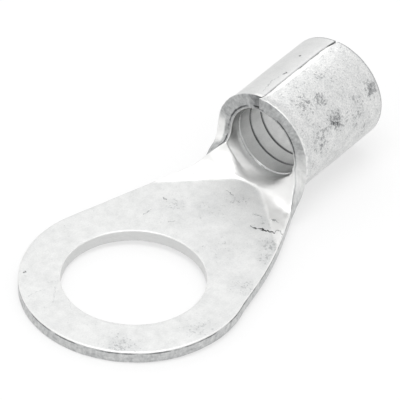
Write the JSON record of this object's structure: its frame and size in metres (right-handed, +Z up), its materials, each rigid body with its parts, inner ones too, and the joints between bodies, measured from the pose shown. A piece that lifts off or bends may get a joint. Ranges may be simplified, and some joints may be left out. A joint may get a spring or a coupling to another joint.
{
  "type": "ring terminal",
  "caption": "Bare tinned crimp ring terminal: a flat ring tongue for a stud, a curled neck and a rolled wire barrel with a closed seam.",
  "frame": {"origin": "on the stud hole's axis, at the underside of the tongue", "axes": "+X along the terminal from the stud hole to the wire, +Z up from the surface that the tongue is bolted to, +Y to the left of +X seen from above"},
  "size_m": [0.0408, 0.0204, 0.0105],
  "materials": {
    "tinned_copper": "matt tin plating over copper, lightly scuffed"
  },
  "bodies": {
    "root": {"terminal": "tinned_copper"}
  },
  "joints": []
}
